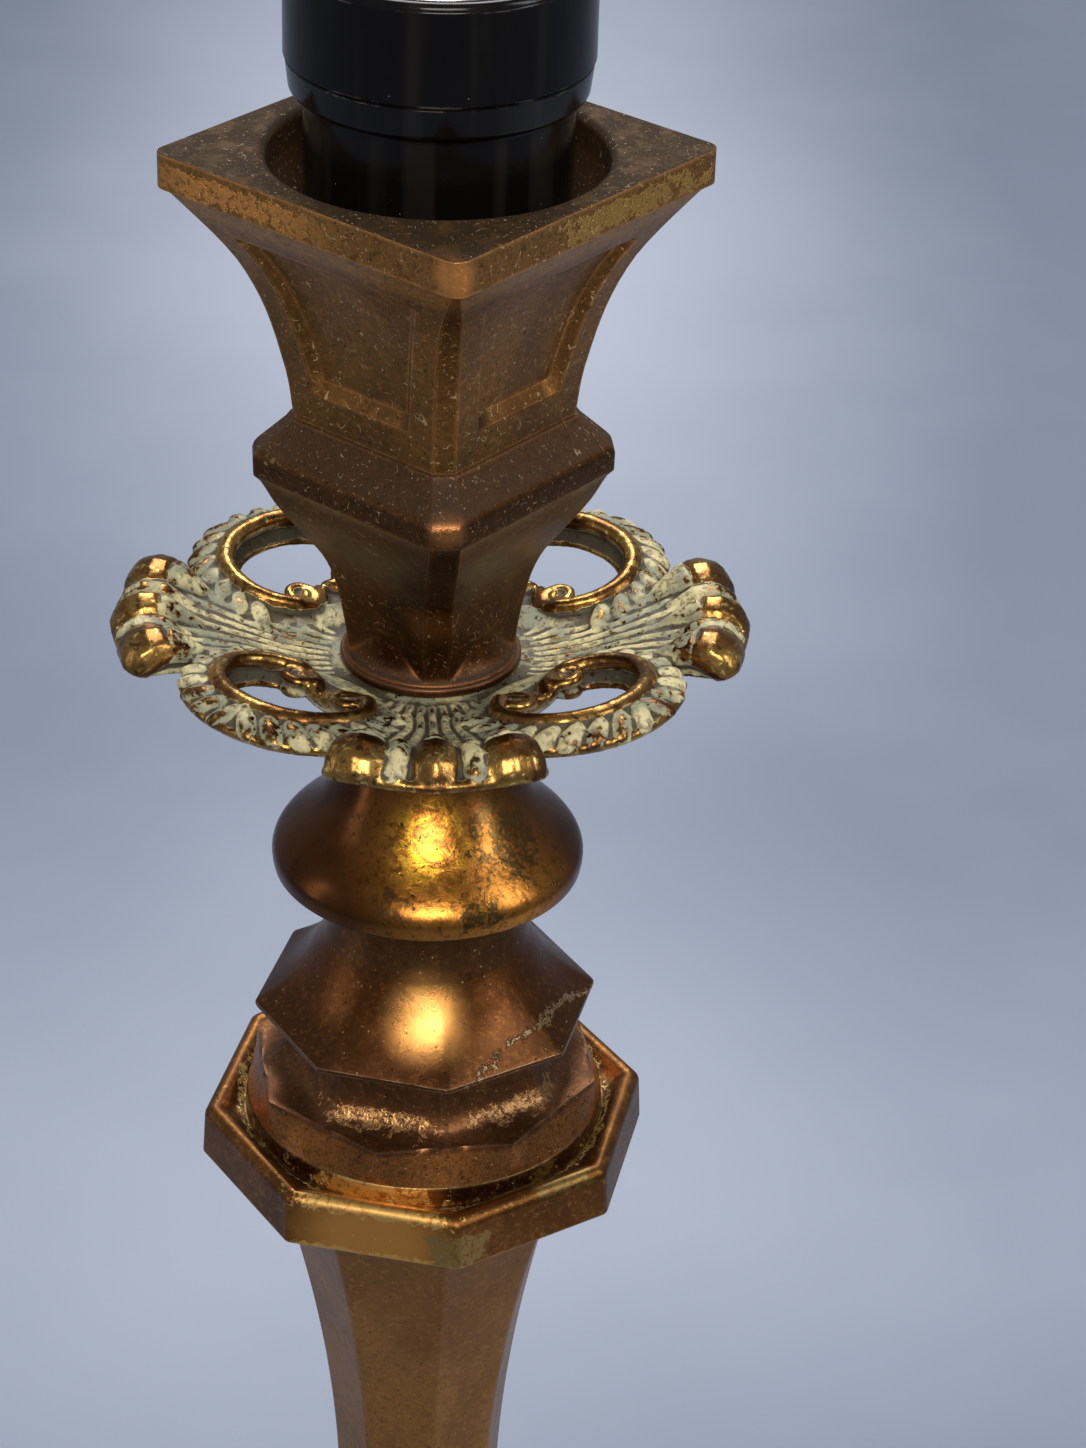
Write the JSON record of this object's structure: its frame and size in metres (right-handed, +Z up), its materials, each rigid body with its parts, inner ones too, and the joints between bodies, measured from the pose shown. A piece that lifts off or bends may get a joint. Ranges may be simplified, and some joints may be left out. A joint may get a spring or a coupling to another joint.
{
  "type": "torchiere floor lamp",
  "caption": "Torchiere floor lamp: square flared cup with a screw lampholder over a pierced disc, on an octagonal column and a weighted octagonal base.",
  "frame": {"origin": "centre of the base's underside, on the floor", "axes": "+Z up along the centre rod, +X and +Y through corners of the octagonal base"},
  "size_m": [0.28, 0.28, 1.53],
  "materials": {
    "cup_bronze": "dusty aged bronze lacquer",
    "stem_bronze": "dark aged bronze lacquer",
    "copper_ring": "worn copper",
    "gilt_disc": "gilt with pale verdigris in the hollows",
    "lacquered_brass": "crazed golden lacquer",
    "bell_bronze": "satin copper-brown lacquer",
    "collar_bronze": "worn brown bronze",
    "flange_bronze": "golden-brown lacquer",
    "column_bronze": "satin brown bronze",
    "base_bronze": "satin brown bronze",
    "black_plastic": "gloss",
    "aluminium_shell": "bright rolled sheet",
    "porcelain": "glazed",
    "bright_brass": "bright",
    "zinc_steel": "zinc plated",
    "spring_steel": "drawn wire",
    "raw_iron": "raw casting",
    "sheet_steel": "rolled sheet",
    "felt": "pressed wool felt",
    "lead_sheath": "matt insulation",
    "connector_plastic": "matt"
  },
  "bodies": {
    "lamp": {"felt_ring": "felt", "base_plate": "sheet_steel", "base_weight": "raw_iron", "plate_screws": "zinc_steel", "base_casting": "base_bronze", "base_washer": "zinc_steel", "base_locknut": "zinc_steel", "cable_gland": "black_plastic", "gland_nut": "black_plastic", "connector_block": "connector_plastic", "inner_lead": "lead_sheath", "base_collar": "flange_bronze", "lower_column": "column_bronze", "lower_break_ring": "flange_bronze", "knop": "bell_bronze", "upper_break_ring": "flange_bronze", "upper_column": "column_bronze", "centring_washers": "bright_brass", "lower_rod": "zinc_steel", "upper_rod": "zinc_steel", "rod_sleeve": "bright_brass", "octagon_flange": "flange_bronze", "hollow_collar": "collar_bronze", "octagon_bell": "bell_bronze", "round_knob": "lacquered_brass", "pierced_disc": "gilt_disc", "stem_foot_ring": "copper_ring", "stem_casting": "stem_bronze", "cup_casting": "cup_bronze", "cup_washer": "zinc_steel", "cup_locknut": "zinc_steel", "lampholder_cap": "black_plastic", "lampholder_skirt": "black_plastic", "holder_insulator": "porcelain", "screw_shell": "aluminium_shell", "contact_spring": "spring_steel", "terminal_blocks": "bright_brass", "terminal_screws": "zinc_steel", "shell_link": "bright_brass", "contact_link": "bright_brass"},
    "contact": {"centre_contact": "bright_brass"}
  },
  "joints": [
    {"name": "contact_press", "type": "slide", "parent": "lamp", "child": "contact", "axis": [0, 0, -1], "range_m": [0, 0.002], "stiffness_N_per_m": 800, "springref_m": -0.002, "deforming": ["contact_spring"]}
  ]
}
